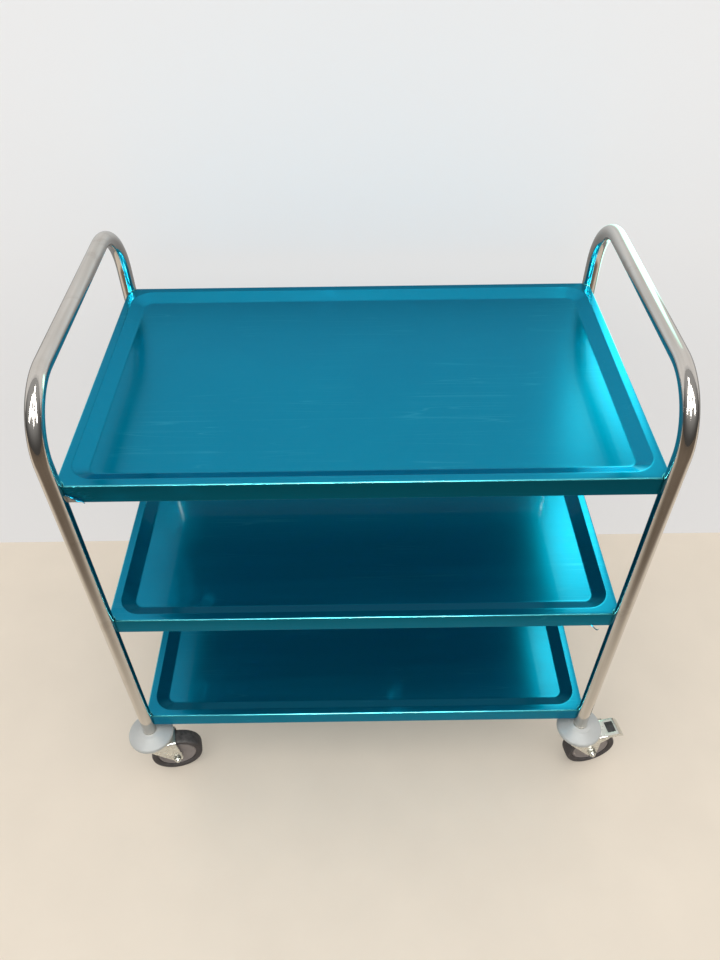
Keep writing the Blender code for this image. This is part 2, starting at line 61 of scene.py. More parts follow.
def roundCorners(outline, steps=4):
    # (x, y, reach) points: each corner becomes a short curve that starts that far from it
    rounded = []
    for i, (x, y, reach) in enumerate(outline):
        here = Vector((x, y))
        if reach <= 0:
            rounded.append(tuple(here))
            continue
        toLast = Vector(outline[i - 1][:2]) - here
        toNext = Vector(outline[(i + 1) % len(outline)][:2]) - here
        span = min(reach, toLast.length * 0.49, toNext.length * 0.49)
        start = here + toLast.normalized() * span
        end = here + toNext.normalized() * span
        for step in range(steps + 1):
            t = step / steps
            rounded.append(tuple((1 - t) ** 2 * start + 2 * t * (1 - t) * here + t * t * end))
    return rounded


def arcPoints(centre, radius, first, last, steps):
    turns = [first + (last - first) * i / steps for i in range(steps + 1)]
    return [(centre[0] + radius * math.cos(t), centre[1] + radius * math.sin(t)) for t in turns]


def finishMesh(bm, name, smoothBelow=35):
    bmesh.ops.remove_doubles(bm, verts=bm.verts, dist=1e-7)
    bmesh.ops.recalc_face_normals(bm, faces=bm.faces)
    mesh = bpy.data.meshes.new(name)
    bm.to_mesh(mesh)
    bm.free()
    mesh.shade_smooth()
    mesh.set_sharp_from_angle(angle=math.radians(smoothBelow))
    return mesh


def sheetMap(bm):
    return bm.loops.layers.uv.get("sheetMap") or bm.loops.layers.uv.new("sheetMap")


def skinRings(bm, rings, uvRings):
    # faces between neighbouring rings; a ring of one repeated point is a pole
    uvLayer = sheetMap(bm)
    for first, second, uvFirst, uvSecond in zip(rings, rings[1:], uvRings, uvRings[1:]):
        for i in range(len(first)):
            j = (i + 1) % len(first)
            kept = {}
            for vert, uv in ((first[i], uvFirst[i]), (first[j], uvFirst[i + 1]),
                             (second[j], uvSecond[i + 1]), (second[i], uvSecond[i])):
                kept.setdefault(vert, uv)
            if len(kept) > 2:
                face = bm.faces.new(list(kept))
                for loop, uv in zip(face.loops, kept.values()):
                    loop[uvLayer].uv = uv


def lathe(name, outline, sides=64, smoothBelow=35):
    # closed outline of (radius, height) points, turned about Z
    bm = bmesh.new()
    rings, uvRings = [], []
    turns = [math.tau * i / sides for i in range(sides + 1)]
    widest = max(radius for radius, _ in outline)
    travelled = 0.0
    for k, (radius, height) in enumerate(outline):
        if k:
            travelled += (Vector(outline[k]) - Vector(outline[k - 1])).length
        if radius < 1e-6:
            ring = [bm.verts.new((0, 0, height))] * sides
        else:
            ring = [bm.verts.new((radius * math.cos(turn), radius * math.sin(turn), height))
                    for turn in turns[:-1]]
        rings.append(ring)
        uvRings.append([(turn * widest, travelled) for turn in turns])
    if max(outline[0][0], outline[-1][0]) >= 1e-6:
        rings.append(rings[0])
        uvRings.append(uvRings[0])
    skinRings(bm, rings, uvRings)
    return finishMesh(bm, name, smoothBelow)


def pushOutline(outline, low, high):
    # closed (x, z) outline pushed from y = low to y = high
    bm = bmesh.new()
    face = bm.faces.new([bm.verts.new((x, low, z)) for x, z in outline])
    pushed = bmesh.ops.extrude_face_region(bm, geom=[face])["geom"]
    far = [item for item in pushed if isinstance(item, bmesh.types.BMVert)]
    bmesh.ops.translate(bm, verts=far, vec=(0, high - low, 0))
    return bm


def extruded(name, outline, halfWidth, middle=0.0):
    return finishMesh(pushOutline(outline, middle - halfWidth, middle + halfWidth), name, 30)


def rod(name, radius, start, end, sides=32):
    start, end = Vector(start), Vector(end)
    bm = bmesh.new()
    turn = (end - start).to_track_quat("Z", "Y").to_matrix().to_4x4()
    bmesh.ops.create_cone(bm, cap_ends=True, segments=sides, radius1=radius, radius2=radius,
                          depth=(end - start).length,
                          matrix=Matrix.Translation((start + end) / 2) @ turn)
    return finishMesh(bm, name)


def crossRod(radius, x, z, sides=32, reach=0.2):
    # a long rod along Y, to drill a hole with
    return rod("hole", radius, (x, -reach, z), (x, reach, z), sides)


def carved(mesh, others, operation="DIFFERENCE", bevel=0.0, smoothBelow=35):
    # Boolean steps, then a bevel along the sharp edges
    work = bpy.data.objects.new("work", mesh)
    scene.collection.objects.link(work)
    helpers = []
    for other in others:
        helper = bpy.data.objects.new("helper", other)
        scene.collection.objects.link(helper)
        helpers.append(helper)
        modifier = work.modifiers.new("carve", "BOOLEAN")
        modifier.operation = operation
        modifier.solver = "EXACT"
        modifier.object = helper
    if bevel:
        modifier = work.modifiers.new("soft edges", "BEVEL")
        modifier.width = bevel
        modifier.segments = 2
        modifier.limit_method = "ANGLE"
        modifier.angle_limit = math.radians(40)
    graph = bpy.context.evaluated_depsgraph_get()
    result = bpy.data.meshes.new_from_object(work.evaluated_get(graph), depsgraph=graph)
    result.name = mesh.name
    for thing in helpers + [work]:
        bpy.data.objects.remove(thing, do_unlink=True)
    result.materials.clear()
    result.shade_smooth()
    result.set_sharp_from_angle(angle=math.radians(smoothBelow))
    return result


def addPiece(name, mesh, body, slot, node=None, place=Matrix(), materials=None):
    # the slot gives the finishes; node is the CAD part that the piece stands for
    piece = bpy.data.objects.new(name, mesh)
    scene.collection.objects.link(piece)
    piece.matrix_world = place
    if not mesh.materials:
        for material in materials or finishes[slot]:
            mesh.materials.append(material)
    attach(piece, body)
    if node:
        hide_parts(node)


# Node tools

def feed(tree, node, inputs):
    # sockets are linked, plain values are set
    for name, value in inputs.items():
        if isinstance(value, bpy.types.NodeSocket):
            tree.links.new(value, node.inputs[name])
        else:
            node.inputs[name].default_value = value


def addNode(tree, kind, inputs=None, **settings):
    made = tree.nodes.new("ShaderNode" + kind)
    for name, value in settings.items():
        setattr(made, name, value)
    feed(tree, made, inputs or {})
    return made


def calc(tree, operation, first, second=0.0, clamp=False):
    return addNode(tree, "Math", {0: first, 1: second},
                   operation=operation, use_clamp=clamp).outputs[0]


def times(tree, first, second, clamp=False):
    return calc(tree, "MULTIPLY", first, second, clamp)


def remap(tree, value, low, high, toLow=0.0, toHigh=1.0, smooth=False):
    return addNode(tree, "MapRange", {"Value": value, "From Min": low, "From Max": high,
                                      "To Min": toLow, "To Max": toHigh},
                   interpolation_type="SMOOTHSTEP" if smooth else "LINEAR").outputs["Result"]


def blendColours(tree, mask, below, above):
    return addNode(tree, "Mix", {0: mask, 6: below, 7: above}, data_type="RGBA").outputs[2]


def layered(tree, colour, layers):
    # each layer is (mask, how much of it shows, colour)
    for mask, share, above in layers:
        mask = mask if share == 1 else times(tree, mask, share)
        colour = blendColours(tree, mask, colour, above)
    return colour


def foldHighlight(tree, vector, scale):
    return addNode(tree, "VectorMath", {0: vector, 1: scale}, operation="MULTIPLY").outputs[0]


def axis(tree, vector, name):
    return addNode(tree, "SeparateXYZ", {0: vector}).outputs[name]


def noise(tree, vector, scale, detail, **more):
    inputs = {"Vector": vector, "Scale": scale, "Detail": detail, **more}
    return addNode(tree, "TexNoise", inputs).outputs[0]


def bumped(tree, height, strength, distance, **below):
    inputs = {"Height": height, "Strength": strength, "Distance": distance, **below}
    return addNode(tree, "Bump", inputs).outputs["Normal"]


def newGroup(name, inputs, outputs):
    # every shared effect also takes a Vector
    group = bpy.data.node_groups.new(name, "ShaderNodeTree")
    addSocket = group.interface.new_socket
    addSocket(name="Vector", in_out="INPUT", socket_type="NodeSocketVector")
    for label, value in inputs.items():
        socket = addSocket(name=label, in_out="INPUT", socket_type="NodeSocketFloat")
        socket.default_value = value
    for label in outputs:
        addSocket(name=label, in_out="OUTPUT", socket_type="NodeSocketFloat")
    given = group.nodes.new("NodeGroupInput").outputs
    return group, given, given["Vector"], group.nodes.new("NodeGroupOutput")


def effect(tree, group, vector, **inputs):
    return addNode(tree, "Group", {"Vector": vector, **inputs}, node_tree=group).outputs


# Shared effects

def makeBrushedGrain():
    group, given, spot, out = newGroup("brushedGrain", {"Along": 6.0, "Across": 900.0},
                                       ["Lines", "Streaks"])
    scale = addNode(group, "CombineXYZ", {"X": given["Along"], "Y": given["Across"],
                                          "Z": given["Across"]}).outputs[0]
    fineCoords = foldHighlight(group, spot, scale)
    wideCoords = foldHighlight(group, fineCoords, (0.35, 0.06, 0.06))
    fine = noise(group, fineCoords, 1.0, 3.0, Roughness=0.65)
    wide = noise(group, wideCoords, 1.0, 2.0, Roughness=0.5)
    feed(group, out, {"Lines": remap(group, fine, 0.3, 0.7),
                      "Streaks": remap(group, wide, 0.35, 0.65)})
    return group


def makeHandSmudges():
    group, given, spot, out = newGroup("handSmudges", {"Scale": 9.0, "Cover": 0.4},
                                       ["Mask", "Cloud"])
    cloud = noise(group, spot, given["Scale"], 4.0, Roughness=0.6, Distortion=0.8)
    level = calc(group, "SUBTRACT", 0.82, times(group, given["Cover"], 0.5))
    top = calc(group, "ADD", level, 0.16)
    feed(group, out, {"Mask": remap(group, cloud, level, top, smooth=True),
                      "Cloud": remap(group, cloud, 0.3, 0.7)})
    return group


def makeEdgeWear():
    group, given, spot, out = newGroup("edgeWear", {"Amount": 0.5, "Breakup": 120.0}, ["Mask"])
    sharpness = addNode(group, "NewGeometry").outputs["Pointiness"]
    patches = remap(group, noise(group, spot, given["Breakup"], 3.0), 0.35, 0.65)
    broken = times(group, remap(group, sharpness, 0.52, 0.6), patches)
    feed(group, out, {"Mask": times(group, broken, given["Amount"], clamp=True)})
    return group


def makeSettledDust():
    group, given, spot, out = newGroup("settledDust", {"Amount": 0.2, "Scale": 60.0}, ["Mask"])
    upward = axis(group, addNode(group, "NewGeometry").outputs["Normal"], "Z")
    patches = remap(group, noise(group, spot, given["Scale"], 5.0, Roughness=0.7), 0.35, 0.8)
    lying = times(group, remap(group, upward, 0.1, 0.9), patches)
    feed(group, out, {"Mask": times(group, lying, given["Amount"], clamp=True)})
    return group


def makeMouldedGrain():
    group, given, spot, out = newGroup("mouldedGrain", {"Scale": 900.0}, ["Height", "Mottle"])
    cells = addNode(group, "TexVoronoi", {"Vector": spot, "Scale": given["Scale"]},
                    feature="SMOOTH_F1")
    broad = noise(group, spot, 38.0, 4.0)
    feed(group, out, {"Height": cells.outputs["Distance"],
                      "Mottle": remap(group, broad, 0.3, 0.7)})
    return group


def makeFineScratches():
    group, given, spot, out = newGroup("fineScratches", {"Scale": 30.0, "Amount": 0.5},
                                       ["Mask"])
    together = 0.0
    for turn, shift in ((0.4, 0.0), (-0.9, 3.1), (1.9, 7.7)):
        coords = addNode(group, "Mapping", {
            "Vector": spot, "Rotation": (0.3, 0.2, turn), "Location": (shift, shift, shift),
            "Scale": (0.12, 4.0, 4.0)}).outputs[0]
        wavy = noise(group, coords, given["Scale"], 1.0, Distortion=0.15)
        gap = calc(group, "ABSOLUTE", calc(group, "SUBTRACT", wavy, 0.5))
        together = calc(group, "MAXIMUM", together, remap(group, gap, 0.0, 0.006, 1.0, 0.0))
    patches = remap(group, noise(group, spot, 7.0, 2.0), 0.5, 0.62)
    limited = times(group, together, patches)
    feed(group, out, {"Mask": times(group, limited, given["Amount"], clamp=True)})
    return group


brushedGrain = makeBrushedGrain()
handSmudges = makeHandSmudges()
edgeWear = makeEdgeWear()
settledDust = makeSettledDust()
mouldedGrain = makeMouldedGrain()
fineScratches = makeFineScratches()
print("shared effects ready")


# Finishes

def newFinish(name, constants):
    material = bpy.data.materials.new(name)
    material.use_nodes = True
    tree = material.node_tree
    shader = tree.nodes["Principled BSDF"]
    feed(tree, shader, constants)
    coords = addNode(tree, "TexCoord").outputs
    return material, tree, shader, coords["Object"], coords["UV"]


def uneven(tree, mask, low, high, *added):
    # roughness from low to high, and more where an added (mask, amount) lies
    rough = remap(tree, mask, 0.0, 1.0, low, high)
    for extra, amount in added:
        rough = calc(tree, "ADD", rough, times(tree, extra, amount))
    return rough


def alongSheet(tree):
    return addNode(tree, "Tangent", direction_type="UV_MAP", uv_map="sheetMap").outputs[0]


# the fold's colour and its share are a painted highlight along the top fold of each tray
film = {
    "teal": (0.001, 0.23, 0.38, 1), "brightTeal": (0.001, 0.27, 0.43, 1),
    "deepTeal": (0.001, 0.20, 0.35, 1), "foldHighlight": (0.10, 0.66, 0.76, 1),
    "scratch": (0.12, 0.62, 0.75, 1), "dust": (0.35, 0.5, 0.52, 1),
    "steel": (0.72, 0.71, 0.68, 1), "edge": (0.1, 0.6, 0.75, 1), "roughness": (0.275, 0.295),
    "anisotropy": 0.45, "coat": 0.2, "coatRoughness": 0.05, "foldPaler": 0.85, "foldCoat": 0.6,
    "linesAlong": 7.0, "linesAcross": 1500.0, "lineDepth": 0.00001, "waveDepth": 0.0002,
}

# the film has come away at the left end of the top tray's front skirt
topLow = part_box("tray_top")[0]
peel = {
    "left": topLow.x + 0.0118, "front": topLow.y, "foot": topLow.z, "width": 0.023,
    "height": 0.0165, "ragged": 0.16, "creaseReach": 0.055, "creaseDepth": 0.0022,
}


def peelMasks(tree, spot):
    # (bare steel, creased film)
    x, y, z = [axis(tree, spot, name) for name in "XYZ"]
    along = remap(tree, x, peel["left"], peel["left"] + peel["width"])
    up = remap(tree, z, peel["foot"], peel["foot"] + peel["height"])
    ragged = times(tree, noise(tree, spot, 260.0, 2.0), peel["ragged"])
    reach = calc(tree, "ADD", calc(tree, "ADD", along, up), ragged)
    onFront = remap(tree, y, peel["front"] + 0.0012, peel["front"] + 0.0006)
    onTop = remap(tree, z, peel["foot"] - 0.002, peel["foot"] - 0.001)
    side = times(tree, onFront, onTop)
    corner = (peel["left"], peel["front"], peel["foot"])
    away = addNode(tree, "VectorMath", {0: spot, 1: corner}, operation="DISTANCE")
    near = remap(tree, away.outputs["Value"], peel["creaseReach"], peel["width"] * 0.8,
                 smooth=True)
    return times(tree, remap(tree, reach, 1.0, 0.96), side), times(tree, near, side)


def makeFilmOnSteel(name, paler, coat):
    material, tree, shader, spot, sheet = newFinish(name, {
        "Metallic": 1.0, "Anisotropic": film["anisotropy"], "Anisotropic Rotation": 0.25,
        "Coat Weight": coat, "Coat Roughness": film["coatRoughness"],
        "Coat IOR": 1.5, "Specular Tint": film["edge"]})
    grain = effect(tree, brushedGrain, sheet, Along=film["linesAlong"],
                   Across=film["linesAcross"])
    smudge = effect(tree, handSmudges, spot, Scale=5.0, Cover=0.45)
    scratch = effect(tree, fineScratches, spot, Scale=9.0, Amount=0.5)
    dust = effect(tree, settledDust, spot, Amount=0.012, Scale=70.0)
    bare, creased = peelMasks(tree, spot)
    # paler mixes in a painted highlight colour; it is above zero only in the fold's film
    colour = layered(tree, film["teal"], [
        (grain["Lines"], 0.5, film["brightTeal"]), (smudge["Cloud"], 0.35, film["deepTeal"]),
        (scratch["Mask"], 0.25, film["scratch"]), (dust["Mask"], 1, film["dust"]),
        (paler, 1, film["foldHighlight"]), (bare, 1, film["steel"])])
    waves = bumped(tree, noise(tree, spot, 4.5, 1.0), 0.35, film["waveDepth"])
    folds = noise(tree, foldHighlight(tree, spot, (1.0, 1.0, 2.2)), 85.0, 1.5, Distortion=0.8)
    creases = bumped(tree, times(tree, folds, creased), 1.0, peel["creaseDepth"], Normal=waves)
    feed(tree, shader, {
        "Base Color": colour, "Tangent": alongSheet(tree),
        "Roughness": uneven(tree, grain["Streaks"], *film["roughness"], (smudge["Mask"], 0.10)),
        "Normal": bumped(tree, grain["Lines"], 0.5, film["lineDepth"], Normal=creases)})
    return material


bareSteel = {"dark": (0.50, 0.49, 0.47, 1), "light": (0.60, 0.59, 0.56, 1),
             "smudge": (0.40, 0.39, 0.37, 1), "roughness": (0.24, 0.36), "lineDepth": 0.00005}


def makeBareSheet():
    material, tree, shader, spot, sheet = newFinish("bareSheet", {
        "Metallic": 1.0, "Anisotropic": 0.5, "Anisotropic Rotation": 0.25})
    grain = effect(tree, brushedGrain, sheet, Along=7.0, Across=1300.0)
    smudge = effect(tree, handSmudges, spot, Scale=6.0, Cover=0.5)["Mask"]
    colour = layered(tree, bareSteel["dark"], [(grain["Lines"], 1, bareSteel["light"]),
                                               (smudge, 0.5, bareSteel["smudge"])])
    feed(tree, shader, {
        "Base Color": colour, "Tangent": alongSheet(tree),
        "Roughness": uneven(tree, grain["Streaks"], *bareSteel["roughness"], (smudge, 0.12)),
        "Normal": bumped(tree, grain["Lines"], 0.5, bareSteel["lineDepth"])})
    return material


tubeSteel = {"dark": (0.58, 0.545, 0.50, 1), "light": (0.68, 0.65, 0.61, 1),
             "smudge": (0.44, 0.39, 0.34, 1), "dust": (0.6, 0.58, 0.54, 1),
             "roughness": (0.06, 0.11), "lineDepth": 0.00002}


def makePolishedTube():
    material, tree, shader, spot, sheet = newFinish("polishedTube", {"Metallic": 1.0})
    grain = effect(tree, brushedGrain, sheet, Along=12.0, Across=1600.0)
    smudge = effect(tree, handSmudges, spot, Scale=14.0, Cover=0.55)["Mask"]
    scratch = effect(tree, fineScratches, spot, Scale=22.0, Amount=0.7)["Mask"]
    dust = effect(tree, settledDust, spot, Amount=0.08, Scale=120.0)["Mask"]
    colour = layered(tree, tubeSteel["dark"], [
        (grain["Streaks"], 1, tubeSteel["light"]), (smudge, 0.4, tubeSteel["smudge"]),
        (dust, 1, tubeSteel["dust"])])
    feed(tree, shader, {
        "Base Color": colour,
        "Roughness": uneven(tree, grain["Lines"], *tubeSteel["roughness"], (smudge, 0.12),
                            (scratch, 0.15)),
        "Normal": bumped(tree, grain["Lines"], 0.25, tubeSteel["lineDepth"])})
    return material


zinc = {"dark": (0.62, 0.62, 0.57, 1), "light": (0.73, 0.73, 0.68, 1),
        "smudge": (0.50, 0.49, 0.44, 1), "worn": (0.86, 0.86, 0.84, 1),
        "dust": (0.48, 0.45, 0.40, 1), "roughness": (0.24, 0.34), "unevenness": 0.0002}


def makeZincPlate():
    material, tree, shader, spot, _ = newFinish("zincPlate", {"Metallic": 1.0})
    crystals = addNode(tree, "TexVoronoi", {"Vector": spot, "Scale": 260.0}, feature="F1")
    patch = remap(tree, crystals.outputs["Color"], 0.0, 1.0)
    smudge = effect(tree, handSmudges, spot, Scale=40.0, Cover=0.6)
    wear = effect(tree, edgeWear, spot, Amount=0.4, Breakup=220.0)["Mask"]
    dust = effect(tree, settledDust, spot, Amount=0.14, Scale=160.0)["Mask"]
    colour = layered(tree, zinc["dark"], [
        (patch, 1, zinc["light"]), (smudge["Mask"], 0.25, zinc["smudge"]),
        (wear, 1, zinc["worn"]), (dust, 1, zinc["dust"])])
    feed(tree, shader, {
        "Base Color": colour, "Roughness": uneven(tree, patch, *zinc["roughness"], (dust, 0.4)),
        "Normal": bumped(tree, smudge["Cloud"], 0.15, zinc["unevenness"])})
    return material


plastics = {
    "grey_plastic": {
        "name": "greyBumper", "dark": (0.50, 0.52, 0.51, 1), "light": (0.57, 0.585, 0.575, 1),
        "roughness": 0.42, "grain": 1400.0, "grainDepth": 0.00004, "dusty": 0.12, "worn": 0.2},
    "hub_plastic": {
        "name": "hubPlastic", "dark": (0.25, 0.225, 0.225, 1), "light": (0.30, 0.27, 0.27, 1),
        "roughness": 0.48, "grain": 1300.0, "grainDepth": 0.00005, "dusty": 0.25, "worn": 0.5},
    "tyre_rubber": {
        "name": "tyreRubber", "dark": (0.04, 0.033, 0.036, 1), "light": (0.058, 0.049, 0.052, 1),
        "roughness": 0.62, "grain": 900.0, "grainDepth": 0.00010, "dusty": 0.30, "worn": 0.6},
    "black_plastic": {
        "name": "blackPlastic", "dark": (0.012, 0.012, 0.013, 1),
        "light": (0.02, 0.02, 0.021, 1),
        "roughness": 0.45, "grain": 1200.0, "grainDepth": 0.00005, "dusty": 0.12, "worn": 0.4},
}
plasticDust = (0.50, 0.47, 0.43, 1)


def makePlastic(look):
    material, tree, shader, spot, _ = newFinish(look["name"], {"Specular IOR Level": 0.45})
    grain = effect(tree, mouldedGrain, spot, Scale=look["grain"])
    smudge = effect(tree, handSmudges, spot, Scale=26.0, Cover=0.5)["Mask"]
    wear = effect(tree, edgeWear, spot, Amount=look["worn"], Breakup=140.0)["Mask"]
    dust = effect(tree, settledDust, spot, Amount=look["dusty"], Scale=110.0)["Mask"]
    scratch = effect(tree, fineScratches, spot, Scale=40.0, Amount=0.35)["Mask"]
    rubbed = tuple(min(1.0, part * 1.25 + 0.03) for part in look["light"][:3]) + (1,)
    colour = layered(tree, look["dark"], [
        (grain["Mottle"], 1, look["light"]), (wear, 1, rubbed), (smudge, 0.35, look["dark"]),
        (scratch, 1, rubbed), (dust, 1, plasticDust)])
    feed(tree, shader, {
        "Base Color": colour,
        "Roughness": uneven(tree, grain["Mottle"], look["roughness"] - 0.05,
                            look["roughness"] + 0.05, (dust, 0.3)),
        "Normal": bumped(tree, grain["Height"], 0.4, look["grainDepth"])})
    return material


filmOnSteel = makeFilmOnSteel("filmOnSteel", 0.0, film["coat"])
# film for the top fold: a painted highlight in its paler colour, and a thicker coat
filmOnFold = makeFilmOnSteel("filmOnFold", film["foldPaler"], film["foldCoat"])
finishes = {slot: [makePlastic(look)] for slot, look in plastics.items()}
finishes["film_on_steel"] = [filmOnSteel, makeBareSheet(), filmOnFold]
finishes["polished_stainless"] = [makePolishedTube()]
finishes["zinc_plate"] = [makeZincPlate()]
print("finishes ready")


# End frames: one bent tube each

endFrame = {"sides": 48, "bendSteps": 28, "bendRadius": 0.095, "wall": 0.0012}


def framePath(legY, low, top):
    # centre line as (y, z, heading)
    bend = endFrame["bendRadius"]
    path = [(-legY, low, math.pi / 2)]
    for centreY, first in ((bend - legY, math.pi), (legY - bend, math.pi / 2)):
        for i in range(endFrame["bendSteps"] + 1):
            turn = first - math.pi / 2 * i / endFrame["bendSteps"]
            path.append((centreY + bend * math.cos(turn), top - bend + bend * math.sin(turn),
                         turn - math.pi / 2))
    path.append((legY, low, -math.pi / 2))
    return path


def endFrameMesh(name, low, high):
    radius = (high.x - low.x) / 2
    centreX = (high.x + low.x) / 2
    path = framePath(high.y - radius, low.z, high.z - radius)
    sides = endFrame["sides"]
    turns = [math.tau * i / sides for i in range(sides + 1)]
    bm = bmesh.new()
    ends = []
    for skinRadius in (radius, radius - endFrame["wall"]):
        rings, uvRings = [], []
        travelled = 0.0
        for k, (y, z, heading) in enumerate(path):
            if k:
                travelled += math.hypot(y - path[k - 1][0], z - path[k - 1][1])
            centre = Vector((centreX, y, z))
            across = Vector((0, -math.sin(heading), math.cos(heading)))
            offsets = [Vector((math.cos(turn), 0, 0)) + across * math.sin(turn)
                       for turn in turns[:-1]]
            rings.append([bm.verts.new(centre + offset * skinRadius) for offset in offsets])
            uvRings.append([(travelled, turn * radius) for turn in turns])
        skinRings(bm, rings, uvRings)
        ends.append((rings, uvRings))
    (outer, uvOuter), (bore, uvBore) = ends
    for end in (0, -1):
        skinRings(bm, [outer[end], bore[end]], [uvOuter[end], uvBore[end]])
    return finishMesh(bm, name)


for side in ("left", "right"):
    node = "end_frame_" + side
    addPiece("endFrame." + side, endFrameMesh(node, *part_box(node)), "root",
             "polished_stainless", node)
print("end frames bent")


# Trays: pressed sheet, dished floor, folded skirt and return hem

tray = {
    "sheet": 0.001, "hem": 0.010, "foldReach": 0.0026, "hemReach": 0.0016,
    "legGap": 0.0003, "rim": 0.0135, "dishWall": 0.0205, "dishDepth": 0.010,
    "dishBend": 0.0024, "dishCorner": 0.035, "cornerSteps": 14, "bendSteps": 6,
}
frameLow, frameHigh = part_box("end_frame_right")
tubeRadius = (frameHigh.x - frameLow.x) / 2
legX, legY = frameHigh.x - tubeRadius, frameHigh.y - tubeRadius


def mirrored(corner):
    # one corner's points repeated round the other three
    back = corner[::-1]
    return (corner + [(-x, y) for x, y in back]
            + [(-x, -y) for x, y in corner] + [(x, -y) for x, y in back])


def notchedRing(halfX, halfY, inset):
    # edge of the sheet, hollow round each leg
    notch = tubeRadius + tray["legGap"] + inset
    edgeX, edgeY = halfX - inset, halfY - inset
    first = math.atan2(-math.sqrt(notch ** 2 - (legX - edgeX) ** 2), edgeX - legX)
    last = math.atan2(edgeY - legY, -math.sqrt(notch ** 2 - (legY - edgeY) ** 2))
    return mirrored(arcPoints((legX, legY), notch, first, last, tray["cornerSteps"]))


def dishRing(halfX, halfY, inset):
    radius = tray["dishCorner"] - max(inset - tray["rim"], 0.0) * 0.9
    centre = (halfX - inset - radius, halfY - inset - radius)
    return mirrored(arcPoints(centre, radius, 0, math.pi / 2, tray["cornerSteps"]))


def unfolded(face, x, y, fall):
    # the sheet's own flat coordinates, its skirts swung up level
    normal = face.normal
    if abs(normal.z) > 0.6:
        return x, y
    if abs(normal.x) > abs(normal.y):
        return x + math.copysign(fall, x), y
    return x, y + math.copysign(fall, y)


def trayMesh(name, low, high):
    top, bottom, bend = high.z, low.z, tray["dishBend"]
    rim, sheet, hemEnd = tray["rim"], tray["sheet"], tray["sheet"] + tray["hem"]
    dishFoot = rim + tray["dishWall"]
    # sections of the sheet as (inset, height, reach), from the hem inward
    skirt = roundCorners([(hemEnd, bottom, 0), (0.0, bottom, tray["hemReach"]),
                          (0.0, top, tray["foldReach"]), (rim * 0.6, top, 0)],
                         tray["bendSteps"])
    inner = roundCorners([(rim * 0.6, top - sheet, 0),
                          (sheet, top - sheet, tray["foldReach"] - sheet),
                          (sheet, bottom + sheet, tray["hemReach"] * 0.5),
                          (hemEnd, bottom + sheet, 0)], 3)
    dish = roundCorners([(rim * 0.8, 0.0, 0), (rim, 0.0, bend),
                         (dishFoot, tray["dishDepth"], bend),
                         (rim + tray["dishWall"] * 1.3, tray["dishDepth"], 0)],
                        tray["bendSteps"])
    bm = bmesh.new()
    uvLayer = sheetMap(bm)

    def ringAt(makeRing, inset, height):
        return [bm.verts.new((x, y, height)) for x, y in makeRing(high.x, high.y, inset)]

    upper = [ringAt(notchedRing, inset, height) for inset, height in skirt]
    upper += [ringAt(dishRing, inset, top - down) for inset, down in dish]
    lower = [ringAt(dishRing, inset, top - down - sheet) for inset, down in reversed(dish)]
    lower += [ringAt(notchedRing, inset, height) for inset, height in inner]
    count = len(upper[0])
    faces = [(bm.faces.new(upper[-1]), 0), (bm.faces.new(lower[0][::-1]), 0)]
    # the faces on the top fold take the film with the painted highlight
    folded = range(tray["bendSteps"] + 3, tray["bendSteps"] + 7)  # rings along the top fold
    for rings, material in ((upper, 0), (lower, 0), ([lower[-1], upper[0]], 1)):
        for step, (first, second) in enumerate(zip(rings, rings[1:])):
            shown = 2 if rings is upper and step in folded else material
            for i in range(count):
                j = (i + 1) % count
                faces.append((bm.faces.new((first[i], first[j], second[j], second[i])), shown))
    bmesh.ops.recalc_face_normals(bm, faces=bm.faces)
    for face, shown in faces:
        face.material_index = shown
        for loop in face.loops:
            x, y, z = loop.vert.co
            loop[uvLayer].uv = unfolded(face, x, y, top - z)
    return finishMesh(bm, name, 50)


for name in trayNames:
    node = "tray_" + name
    addPiece("tray." + name, trayMesh(node, *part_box(node)), "root", "film_on_steel", node)
print("trays pressed")


# Loose film: the curled edge beside the bare steel, and a shred under the middle tray

curl = {"steps": 18, "turnSteps": 12, "turn": 250.0, "radius": 0.0006, "swell": 0.0005}
shred = {"at": 0.3745, "length": 0.019, "width": 0.0022, "drop": 0.0075, "steps": 16}
filmThickness = 0.00012


def filmScrapMesh(name, rows):
    bm = bmesh.new()
    uvLayer = sheetMap(bm)
    grid = [[bm.verts.new(point) for point in row] for row in rows]
    for first, second in zip(grid, grid[1:]):
        for i in range(len(first) - 1):
            bm.faces.new((first[i], first[i + 1], second[i + 1], second[i]))
    bmesh.ops.recalc_face_normals(bm, faces=bm.faces)
    bmesh.ops.solidify(bm, geom=bm.faces[:], thickness=filmThickness)
    for face in bm.faces:
        for loop in face.loops:
            loop[uvLayer].uv = (loop.vert.co.x, loop.vert.co.z)
    return finishMesh(bm, name, 60)


def curlRows():
    start = Vector((peel["left"], peel["front"], peel["foot"] + peel["height"]))
    edge = Vector((peel["width"], 0, -peel["height"]))
    inward = Vector((peel["height"], 0, peel["width"])).normalized()
    rows = []
    for k in range(curl["steps"] + 1):
        part = k / curl["steps"]
        foot = start + edge * part
        foot -= inward * (0.0006 * math.sin(part * 13) + 0.0008 * math.sin(part * math.pi))
        radius = curl["radius"] + curl["swell"] * math.sin(part * math.pi) ** 2 \
            + 0.0002 * math.sin(part * 21)
        row = []
        for i in range(curl["turnSteps"] + 1):
            turn = math.radians(curl["turn"]) * i / curl["turnSteps"]
            row.append(foot - inward * radius * math.sin(turn)
                       - Vector((0, 1, 0)) * (radius * (1 - math.cos(turn)) + 0.0003))
        rows.append(row)
    return rows


